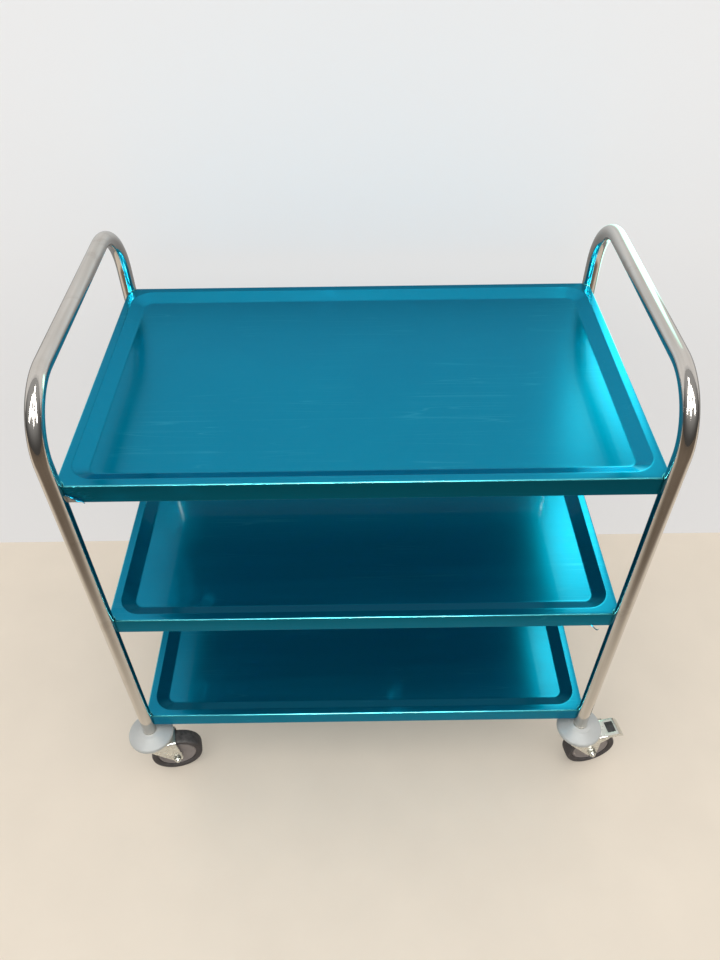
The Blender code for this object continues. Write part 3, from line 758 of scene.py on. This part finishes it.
def shredRows():
    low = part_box("tray_middle")[0]
    rows = []
    for k in range(shred["steps"] + 1):
        part = k / shred["steps"]
        x = shred["at"] + shred["length"] * part * (1 - 0.25 * part)
        z = low.z + 0.002 - shred["drop"] * math.sin(part * 2.3) ** 1.4
        y = low.y - 0.0005 - 0.004 * math.sin(part * 2.6)
        lean = 0.6 + 1.1 * part
        half = Vector((0, math.cos(lean), math.sin(lean))) * shred["width"] * 0.5
        half *= 1.0 - 0.75 * part ** 3
        middle = Vector((x, y, z))
        rows.append([middle - half, middle, middle + half])
    return rows


for name, rows in (("looseFilm.curl", curlRows()), ("looseFilm.shred", shredRows())):
    addPiece(name, filmScrapMesh(name, rows), "root", "film_on_steel", materials=[filmOnSteel])
print("loose film curled")


# Tray bolts: button heads with a hexagon recess, inside the corners of the skirts

trayBolt = {"shank": 0.003, "head": 0.005, "headHeight": 0.0035, "keyAcross": 0.004,
            "keyDepth": 0.0018, "reach": 0.006, "gap": 0.0006, "sheet": 0.001}


def trayBoltMesh():
    shank, head, headHeight = trayBolt["shank"], trayBolt["head"], trayBolt["headHeight"]
    length = tubeRadius + trayBolt["gap"] + trayBolt["sheet"] - trayBolt["reach"]
    top = length + headHeight
    outline = [(0, 0, 0), (shank * 0.85, 0, 0), (shank, 0.0006, 0), (shank, length, 0),
               (head, length, 0.0003), (head, length + headHeight * 0.3, 0.0006),
               (head * 0.62, top, 0.0012), (0, top, 0)]
    key = rod("key", trayBolt["keyAcross"] / math.sqrt(3), (0, 0, top - trayBolt["keyDepth"]),
              (0, 0, top + 0.002), 6)
    return carved(lathe("trayBolt", roundCorners(outline, 5), 40), [key], smoothBelow=30)


boltMesh = trayBoltMesh()
for name in trayNames:
    for place in places:
        node = f"tray_bolt_{name}_{place}"
        low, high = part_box(node)
        middle = (low + high) / 2
        sideX, sideY = math.copysign(1, middle.x), math.copysign(1, middle.y)
        inward = Vector((-sideX, -sideY, 0)).normalized()
        start = Vector((sideX * legX, sideY * legY, middle.z)) + inward * trayBolt["reach"]
        turn = inward.to_track_quat("Z", "Y").to_matrix().to_4x4()
        addPiece(f"trayBolt.{name}.{place}", boltMesh, "root", "zinc_plate", node,
                 Matrix.Translation(start) @ turn)
print("tray bolts fitted")


# Castors. Each piece is made in its castor's own frame: the swivel axis is Z,
# the wheel trails towards +X, and the floor is at Z = 0.

def castorPlace(place):
    # the swivel axis on the floor, and the direction in which the wheel trails
    swivel = Vector(joints["swivel_" + place]["pos_m"])
    axle = Vector(joints["roll_" + place]["pos_m"])
    turn = math.atan2(axle.y - swivel.y, axle.x - swivel.x)
    return Matrix.Translation((swivel.x, swivel.y, 0)) @ Matrix.Rotation(turn, 4, "Z")


castorPlaces = {place: castorPlace(place) for place in places}
firstAxle = Vector(joints["roll_front_left"]["pos_m"])
trail = (firstAxle - Vector(joints["swivel_front_left"]["pos_m"])).to_2d().length
wheelRadius = firstAxle.z
atAxle = Matrix.Translation((trail, 0, wheelRadius)) @ zToMinusY
headLow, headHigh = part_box("castor_front_left_swivel_head")
bumperLow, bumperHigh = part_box("castor_front_left_bumper")
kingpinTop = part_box("castor_front_left_kingpin")[1].z

castor = {
    "bore": 0.0053, "pin": 0.005, "pinHead": 0.008, "pinHeadHeight": 0.003,
    "axle": 0.004, "axleBore": 0.0043, "forkSheet": 0.0025, "cheekInside": 0.0181,
    "forkFront": 0.018, "forkRear": 0.005, "forkTip": 0.011, "shoulder": 0.0045,
    "gap": 0.0003, "nutAcross": 0.013, "nutHeight": 0.0065, "boltTail": 0.002,
    "threadPitch": 0.00125, "threadDepth": 0.00035,
}
gap, pinRadius, axleRadius = castor["gap"], castor["pin"], castor["axle"]
axleBore, nutAcross = castor["axleBore"], castor["nutAcross"]
cheekInside = castor["cheekInside"]
cheekOutside = cheekInside + castor["forkSheet"]
plateTop = headLow.z - gap
plateBottom = plateTop - castor["forkSheet"]

bumper = {"shell": 0.0025, "collar": 0.0153, "seat": 0.0128, "fall": 0.0115, "rim": 0.006,
          "boss": 0.011, "seatDepth": 0.002, "step": 0.0006}
wheel = {"halfWidth": 0.015, "hubInside": 0.0123, "tyreDepth": 0.012, "tyreRounding": 0.0012}


def bumperMesh():
    bottom, top = bumperLow.z, bumperHigh.z
    rim = (bumperHigh.x - bumperLow.x) / 2
    seat, shoulder = top - bumper["seatDepth"], top - bumper["fall"]
    foot = shoulder - bumper["rim"]
    shell, collar, step = bumper["shell"], bumper["collar"], bumper["step"]
    stepAt, stepHeight = collar + (rim - collar) * 0.22, top - bumper["fall"] * 0.16
    outline = [
        (castor["bore"], bottom, 0), (castor["bore"], seat, 0), (bumper["seat"], seat, 0.0003),
        (bumper["seat"], top, 0.0004), (collar, top, 0.0012), (stepAt, stepHeight, 0.001),
        (stepAt + step, stepHeight - step, 0.001), (rim * 0.95, shoulder + shell * 0.4, 0.004),
        (rim, shoulder - shell * 0.5, 0.0014), (rim, foot, 0.0007), (rim - shell, foot, 0.0005),
        (rim - shell, shoulder - shell * 1.3, 0.001), (bumper["boss"], seat - shell, 0.001),
        (bumper["boss"], bottom, 0.0004)]
    return lathe("bumper", roundCorners(outline, 5), 96, 50)


def swivelHeadMesh():
    # two pressed race cups with the ball groove between them; parts of its radius and height
    bottom, height = headLow.z, headHigh.z - headLow.z
    radius = (headHigh.x - headLow.x) / 2
    cups = [(0.58, 1.0, 0.0006), (0.66, 0.82, 0.001), (0.93, 0.70, 0.0015), (1.0, 0.58, 0.0008),
            (1.0, 0.40, 0.0004), (0.93, 0.37, 0.0003), (0.93, 0.24, 0.0003),
            (1.0, 0.21, 0.0004), (1.0, 0.0, 0.0005)]
    outline = [(castor["bore"], bottom, 0), (castor["bore"], bottom + height, 0)]
    outline += [(radius * out, bottom + height * up, reach) for out, up, reach in cups]
    return lathe("swivelHead", roundCorners(outline), 80, 40)


def kingpinMesh():
    top, headRadius = plateBottom - gap, castor["pinHead"]
    low = top - castor["pinHeadHeight"]
    outline = [(0, low, 0), (headRadius * 0.5, low, 0.0012), (headRadius, low + 0.0012, 0.0006),
               (headRadius, top, 0.0003), (pinRadius, top, 0), (pinRadius, kingpinTop, 0.0008),
               (0, kingpinTop, 0)]
    return lathe("kingpin", roundCorners(outline), 48)


def hubMesh():
    # disc wheel centre with a bearing boss and a thin raised ring at its edge
    radius, bossEnd = wheelRadius - wheel["hubInside"], wheel["halfWidth"] + gap
    face = wheel["halfWidth"] * 0.78
    half = [(axleBore, bossEnd, 0.0002), (0.0068, bossEnd, 0.0006),
            (0.0078, face + 0.0004, 0.0006), (0.0125, face + 0.0004, 0.0005),
            (0.0135, face - 0.0010, 0.0008), (radius * 0.84, face - 0.0010, 0.0008),
            (radius * 0.87, face + 0.0001, 0.0005), (radius * 0.95, face + 0.0003, 0.0005),
            (radius * 0.97, face - 0.0012, 0.0004), (radius, face - 0.0014, 0.0)]
    outline = [(r, -h, reach) for r, h, reach in half] + half[::-1]
    return lathe("hub", roundCorners(outline, 3), 96, 40)


def tyreMesh():
    # the tread is nearly flat, with a shallow groove beside each shoulder
    inner = 1 - wheel["tyreDepth"] / wheelRadius
    parts = [(1, 0.0), (1, 0.42), (0.9965, 0.62), (0.985, 0.80), (0.955, 0.965), (0.93, 1),
             (0.86, 0.97), (0.815, 0.93), (0.79, 0.86), (inner, 0.80)]
    half = [(wheelRadius * out, wheel["halfWidth"] * along, wheel["tyreRounding"])
            for out, along in parts]
    half[-1] = half[-1][:2] + (0,)
    outline = [(r, -h, reach) for r, h, reach in half[::-1]] + half[1:]
    return lathe("tyre", roundCorners(outline, 3), 128, 50)


def hexHead(name, height):
    # hexagon with turned corners on its outer face
    corner = nutAcross / math.sqrt(3)
    outline = [(0, 0), (corner * 1.02, 0), (corner * 1.02, height * 0.72),
               (corner * 0.84, height), (0, height)]
    return carved(rod(name, corner, (0, 0, 0), (0, 0, height), 6), [lathe("turned", outline)],
                  "INTERSECT", 0.00025, 25)


def domeNutMesh():
    height = castor["nutHeight"]
    dome = [(nutAcross * 0.46, 0), (nutAcross * 0.46, height * 0.82),
            (nutAcross * 0.40, height * 0.97), (axleBore, height)]
    collar = lathe("collar", roundCorners([point + (0.0009,) for point in dome]), 48)
    nut = carved(hexHead("axleNut", height * 0.8), [collar], "UNION")
    hole = rod("hole", axleBore, (0, 0, -0.01), (0, 0, 0.02), 40)
    nut = carved(nut, [hole], smoothBelow=30)
    nut.transform(Matrix.Translation((0, 0, cheekOutside + gap)))
    return nut


def axleBoltMesh():
    # plain shank, rolled thread at the nut, hexagon head on the other side
    start, pitch = cheekOutside + gap, castor["threadPitch"]
    end = start + castor["nutHeight"] + castor["boltTail"]
    outline = [(0, -start), (axleRadius, -start)]
    z = start - pitch * 3
    while z < end - pitch * 1.5:
        outline += [(axleRadius, z), (axleRadius - castor["threadDepth"], z + pitch / 2)]
        z += pitch
    outline += [(axleRadius, end - 0.001), (axleRadius * 0.8, end), (0, end)]
    head = hexHead("boltHead", castor["nutHeight"])
    head.transform(Matrix.Rotation(math.pi, 4, "X"))
    head.transform(Matrix.Translation((0, 0, -start + 0.00001)))
    return carved(head, [lathe("axleBolt", outline, 40)], "UNION", smoothBelow=30)


brake = {
    "sheet": 0.0016, "sideGap": 0.0004, "start": 0.008, "pivot": 0.021, "end": 0.048,
    "lip": 0.011, "skirt": 0.010, "rise": 0.004, "pin": 0.002, "pinDrop": 0.004,
    "ear": 0.006, "shoeLength": 0.012, "shoeWidth": 0.024, "shoeGap": 0.005,
    "padLength": 0.017, "padWidth": 0.022, "padThick": 0.0008, "padInset": 0.004,
    "padGap": 0.0002, "grooveDepth": 0.0012, "grooveHalf": 0.0028,
}
brakePinX = trail + brake["pivot"]
brakePinZ = 2 * wheelRadius + brake["rise"] - brake["pinDrop"]
brakePinBore = brake["pin"] + gap
# from the brake pin, the pedal's flat top reaches to here, with the window for the pad in it
flatEnd = brake["end"] - brake["pivot"]
padEnd = flatEnd - brake["padInset"]
padStart = flatEnd - brake["padLength"] - brake["padInset"]


def forkMesh(name, braked):
    # one pressing: plate over the wheel, rounded shoulders, cheeks tapering to the axle
    start, end = -castor["forkFront"], trail + castor["forkRear"]
    slope = math.atan2(trail - start, plateTop - wheelRadius)
    outline = [(start, plateTop), (start, plateBottom - castor["forkSheet"])]
    outline += arcPoints((trail, wheelRadius), castor["forkTip"], math.pi + slope * 0.9,
                         math.tau, 16)
    slot = [(-0.2, -0.2), (-0.2, plateBottom), (end, plateBottom), (end, 0.2), (0.2, 0.2),
            (0.2, -0.2)]
    cutters = [extruded("slot", slot, cheekInside), crossRod(axleBore, trail, wheelRadius),
               rod("hole", castor["bore"], (0, 0, plateBottom - 0.01), (0, 0, plateTop + 0.01))]
    if braked:
        outline += [(trail + castor["forkTip"], brakePinZ - brake["ear"] * 2.5)]
        outline += arcPoints((brakePinX, brakePinZ), brake["ear"], -math.pi / 4, math.pi / 4, 8)
        end = max(end, brakePinX)
        cutters.append(crossRod(brakePinBore, brakePinX, brakePinZ, 24))
    bm = pushOutline(outline + [(end, plateTop)], -cheekOutside, cheekOutside)
    folds = [edge for edge in bm.edges
             if all(abs(vert.co.z - plateTop) < 1e-6 for vert in edge.verts)
             and abs(edge.verts[0].co.y - edge.verts[1].co.y) < 1e-6]
    bmesh.ops.bevel(bm, geom=folds, offset=castor["shoulder"], segments=7, affect="EDGES",
                    profile=0.5)
    return carved(finishMesh(bm, name), cutters, bevel=0.0005)


def pedalMesh():
    half = cheekInside - brake["sideGap"]
    sheet, lip, top = brake["sheet"], brake["lip"], brake["pinDrop"]
    start, foot, under = brake["start"] - brake["pivot"], top - brake["skirt"], top - sheet
    lipEnd, lipLow = flatEnd + lip, top - lip
    outline = [(start, top, 0.0006), (start, top - brake["skirt"] * 0.7, 0.003),
               (0, foot, 0.003), (flatEnd, foot, 0.002), (lipEnd, lipLow - sheet, 0.0004),
               (lipEnd, lipLow, 0.0004), (flatEnd, top, 0.003)]
    reach = 0.06
    hollow = [(-reach, under, 0), (-reach, -reach, 0), (lipEnd + 0.004, -reach, 0),
              (lipEnd + 0.004, lipLow - sheet * 3, 0), (flatEnd, under, 0.002)]
    window = [(padStart, -reach), (padStart, reach), (padEnd, reach), (padEnd, -reach)]
    cutters = [extruded("hollow", roundCorners(hollow), half - sheet),
               crossRod(brakePinBore, 0, 0, 24),
               extruded("window", window, brake["padWidth"] / 2)]
    return carved(extruded("brakePedal", roundCorners(outline), half), cutters, bevel=0.0004)


def pedalPadMesh():
    # black insert in the window of the pedal, with two grip slots
    top = brake["pinDrop"] + brake["padThick"] * 0.5
    low = brake["pinDrop"] - brake["sheet"] * 1.4
    start, end = padStart + brake["padGap"], padEnd - brake["padGap"]
    outline = [(start, low), (start, top), (end, top), (end, low)]
    grooveStart, grooveEnd, grooveFoot = start + 0.003, end - 0.003, top - brake["grooveDepth"]
    groove = [(grooveStart, grooveFoot), (grooveStart, top + 0.01), (grooveEnd, top + 0.01),
              (grooveEnd, grooveFoot)]
    cutters = [extruded("groove", groove, brake["grooveHalf"], part * brake["padWidth"])
               for part in (-0.30, 0.30)]
    pad = extruded("pedalPad", outline, brake["padWidth"] / 2 - brake["padGap"])
    return carved(pad, cutters, bevel=0.0003)


def shoeMesh():
    # its underside follows the tread
    top = brake["pinDrop"] - brake["sheet"] - gap
    start = brake["pin"] + brake["sideGap"] * 4
    steps = 6
    outline = [(start, top)]
    for i in range(steps + 1):
        x = start + brake["shoeLength"] * i / steps
        height = math.sqrt((wheelRadius + brake["shoeGap"]) ** 2 - (brakePinX + x - trail) ** 2)
        outline.append((x, wheelRadius + height - brakePinZ))
    outline.append((start + brake["shoeLength"], top))
    return carved(extruded("brakeShoe", outline, brake["shoeWidth"] / 2), [], bevel=0.0005)


def brakePinMesh():
    outline = [(0, -cheekOutside, 0), (brake["pin"], -cheekOutside, 0.0004),
               (brake["pin"], cheekOutside, 0.0004), (0, cheekOutside, 0)]
    return lathe("brakePin", roundCorners(outline, 3), 32)


bumperShape, headShape, kingpinShape = bumperMesh(), swivelHeadMesh(), kingpinMesh()
hubShape, tyreShape = hubMesh(), tyreMesh()
boltShape, nutShape = axleBoltMesh(), domeNutMesh()
forkShapes = {braked: forkMesh("fork", braked) for braked in (False, True)}
for place in places:
    at = castorPlaces[place]
    onLeg, onAxle = Matrix.Translation(at.translation), at @ atAxle
    fork, roller = "fork_" + place, "wheel_" + place
    for kind, shape, body, slot, where in (
            ("bumper", bumperShape, "root", "grey_plastic", onLeg),
            ("swivel_head", headShape, "root", "zinc_plate", onLeg),
            ("kingpin", kingpinShape, "root", "zinc_plate", onLeg),
            ("fork", forkShapes[place in brakedPlaces], fork, "zinc_plate", at),
            ("axle_bolt", boltShape, fork, "zinc_plate", onAxle),
            ("axle_nut", nutShape, fork, "zinc_plate", onAxle),
            ("hub", hubShape, roller, "hub_plastic", onAxle),
            ("tyre", tyreShape, roller, "tyre_rubber", onAxle)):
        addPiece(f"castor.{place}.{kind}", shape, body, slot, f"castor_{place}_{kind}", where)
    socket = frame["nodes"][f"castor_{place}_stem_socket"]
    socket.data.materials.clear()
    socket.data.materials.append(finishes["black_plastic"][0])
print("castors built")

pedalShape, padShape = pedalMesh(), pedalPadMesh()
shoeShape, pinShape = shoeMesh(), brakePinMesh()
for place in brakedPlaces:
    at = castorPlaces[place] @ Matrix.Translation((brakePinX, 0, brakePinZ))
    prefix, pedal = f"castor_{place}_brake_", "pedal_" + place
    addPiece(f"brake.{place}.pedal", pedalShape, pedal, "zinc_plate", prefix + "pedal", at)
    addPiece(f"brake.{place}.pad", padShape, pedal, "black_plastic", place=at)
    addPiece(f"brake.{place}.shoe", shoeShape, pedal, "tyre_rubber", prefix + "shoe", at)
    addPiece(f"brake.{place}.pin", pinShape, "fork_" + place, "zinc_plate", prefix + "pin",
             at @ zToMinusY)
print("brakes fitted")


# Studio

studio = {
    "floor": (0.66, 0.585, 0.49, 1), "floorShade": (0.15, 0.115, 0.085, 1),
    "shadeFrom": -0.28, "shadeTo": -0.95, "floorGlow": 0.32, "floorHalf": 5.0,
    "wall": (0.30, 0.29, 0.285, 1), "wallGlow": (0.55, 0.64), "glowFrom": 0.4, "glowTo": 1.2,
    "wallY": 0.36, "wallHeight": 4.0, "shadow": 0.6, "shadowFoot": 0.78, "shadowTop": 1.02,
    "glare": 4.6, "glareColour": (0.35, 1.0, 0.80, 1), "glareLeft": (0.42, 0.54),
    "glareRight": (0.62, 0.74), "glareFoot": (0.66, 0.84), "glareTop": (1.06, 1.46),
    "airHigh": (0.42, 0.42, 0.42, 1), "airLow": (0.08, 0.077, 0.074, 1),
    "backdrop": (0.80, 0.795, 0.79, 1),
    "lens": 29.137, "eye": (-0.0063, -0.9981, 1.5425), "eyeTurn": (45.595, 0.482, -0.630),
}
lights = {  # name: (place, aim, size, watts, colour, the rays that see it)
    "ceilingPanel": ((0.0, -1.5, 2.95), (0.0, -1.5, 0.0), (8.0, 4.6), 120.0,
                     (1.0, 0.995, 0.985), "matt"),
    "frontStrip": ((0.0, -2.0, 2.9), (0.0, -0.4, 0.6), (4.0, 0.15), 150.0,
                   (1.0, 0.985, 0.90), "gloss"),
    "ceilingStrip.left": ((-1.5, -1.6, 2.8), (-0.9, -1.2, 0.5), (0.26, 2.6), 36.0,
                          (1.0, 0.99, 0.97), "gloss"),
    "ceilingStrip.middle": ((0.0, -1.6, 2.8), (0.0, -1.2, 0.5), (0.20, 2.6), 28.0,
                            (1.0, 0.99, 0.97), "gloss"),
    "ceilingStrip.right": ((1.5, -1.6, 2.8), (0.9, -1.2, 0.5), (0.26, 2.6), 36.0,
                           (1.0, 0.99, 0.97), "gloss"),
}


def stagePlane(name, corners, material):
    mesh = bpy.data.meshes.new(name)
    mesh.from_pydata(corners, [], [(0, 1, 2, 3)])
    mesh.materials.append(material)
    plane = bpy.data.objects.new(name, mesh)
    scene.collection.objects.link(plane)
    return plane


def makeFloorFinish():
    material, tree, shader, spot, _ = newFinish("floorVinyl", {
        "Roughness": 0.6, "Specular IOR Level": 0.1, "Emission Strength": studio["floorGlow"]})
    material.cycles.emission_sampling = "NONE"
    darker, paler = [tuple(part * share for part in studio["floor"][:3]) + (1,)
                     for share in (0.98, 1.02)]
    mottle = remap(tree, noise(tree, spot, 7.0, 6.0), 0.3, 0.7)
    # darker to the front, in reflections only
    mirroredRay = addNode(tree, "LightPath").outputs["Is Glossy Ray"]
    shade = remap(tree, axis(tree, spot, "Y"), studio["shadeFrom"], studio["shadeTo"],
                  smooth=True)
    colour = layered(tree, darker, [(mottle, 1, paler),
                                    (times(tree, shade, mirroredRay), 1, studio["floorShade"])])
    feed(tree, shader, {"Base Color": colour, "Emission Color": colour})
    return material


def makeWallFinish():
    # seen only from the front, so the trolley can be looked at from behind
    material, tree, shader, spot, _ = newFinish("wallPaint", {
        "Roughness": 0.7, "Specular IOR Level": 0.0})
    material.cycles.emission_sampling = "NONE"
    across, height = axis(tree, spot, "X"), axis(tree, spot, "Z")
    glow = remap(tree, height, studio["glowFrom"], studio["glowTo"], *studio["wallGlow"],
                 smooth=True)
    # the trolley's own shadow low on the wall, in reflections only
    mirroredRay = addNode(tree, "LightPath").outputs["Is Glossy Ray"]
    low = remap(tree, height, studio["shadowTop"], studio["shadowFoot"], smooth=True)
    low = times(tree, times(tree, low, mirroredRay), studio["shadow"])
    glow = times(tree, glow, calc(tree, "SUBTRACT", 1.0, low))
    # a window's glare to the right, in reflections only
    glare = times(tree, mirroredRay, studio["glare"])
    for value, edges in ((across, studio["glareLeft"]), (across, studio["glareRight"][::-1]),
                         (height, studio["glareFoot"]), (height, studio["glareTop"][::-1])):
        glare = times(tree, glare, remap(tree, value, *edges, smooth=True))
    share = calc(tree, "DIVIDE", glare, calc(tree, "ADD", glare, studio["wallGlow"][1]))
    feed(tree, shader, {
        "Emission Strength": calc(tree, "ADD", glow, glare),
        "Emission Color": blendColours(tree, share, (1, 1, 1, 1), studio["glareColour"]),
        "Base Color": blendColours(tree, low, studio["wall"], (0, 0, 0, 1))})
    behind = addNode(tree, "NewGeometry").outputs["Backfacing"]
    clear = addNode(tree, "BsdfTransparent").outputs[0]
    mix = addNode(tree, "MixShader", {0: behind, 1: shader.outputs[0], 2: clear})
    feed(tree, tree.nodes["Material Output"], {"Surface": mix.outputs[0]})
    return material


half, wallY, top = studio["floorHalf"], studio["wallY"], studio["wallHeight"]
stagePlane("floor", [(-half, -half, 0), (half, -half, 0), (half, half, 0), (-half, half, 0)],
           makeFloorFinish())
wall = stagePlane("wall", [(-half, wallY, 0), (half, wallY, 0), (half, wallY, top),
                           (-half, wallY, top)], makeWallFinish())
wall.visible_shadow = False  # so the floor behind it is lit for the back views

world = bpy.data.worlds.new("studioAir")
scene.world = world
world.use_nodes = True
air = world.node_tree
height = axis(air, addNode(air, "TexCoord").outputs["Generated"], "Z")
shade = blendColours(air, remap(air, height, -0.1, 0.8, smooth=True), studio["airLow"],
                     studio["airHigh"])
seen = addNode(air, "LightPath").outputs["Is Camera Ray"]
feed(air, air.nodes["Background"],
     {"Color": blendColours(air, seen, shade, studio["backdrop"])})

for name, (spot, aim, size, watts, colour, seenBy) in lights.items():
    lamp = bpy.data.lights.new(name, "AREA")
    lamp.shape = "RECTANGLE"
    lamp.size, lamp.size_y = size
    lamp.energy = watts
    lamp.color = colour
    holder = bpy.data.objects.new(name, lamp)
    scene.collection.objects.link(holder)
    holder.location = spot
    holder.visible_diffuse = seenBy == "matt"
    holder.visible_glossy = seenBy == "gloss"
    holder.visible_camera = False
    holder.rotation_euler = (Vector(aim) - Vector(spot)).to_track_quat("-Z", "Y").to_euler()

cameraData = bpy.data.cameras.new("eye")
cameraData.sensor_width = 36.0
cameraData.lens = studio["lens"]
camera = bpy.data.objects.new("eye", cameraData)
scene.collection.objects.link(camera)
camera.location = studio["eye"]
camera.rotation_euler = [math.radians(angle) for angle in studio["eyeTurn"]]
scene.camera = camera
print("studio set")
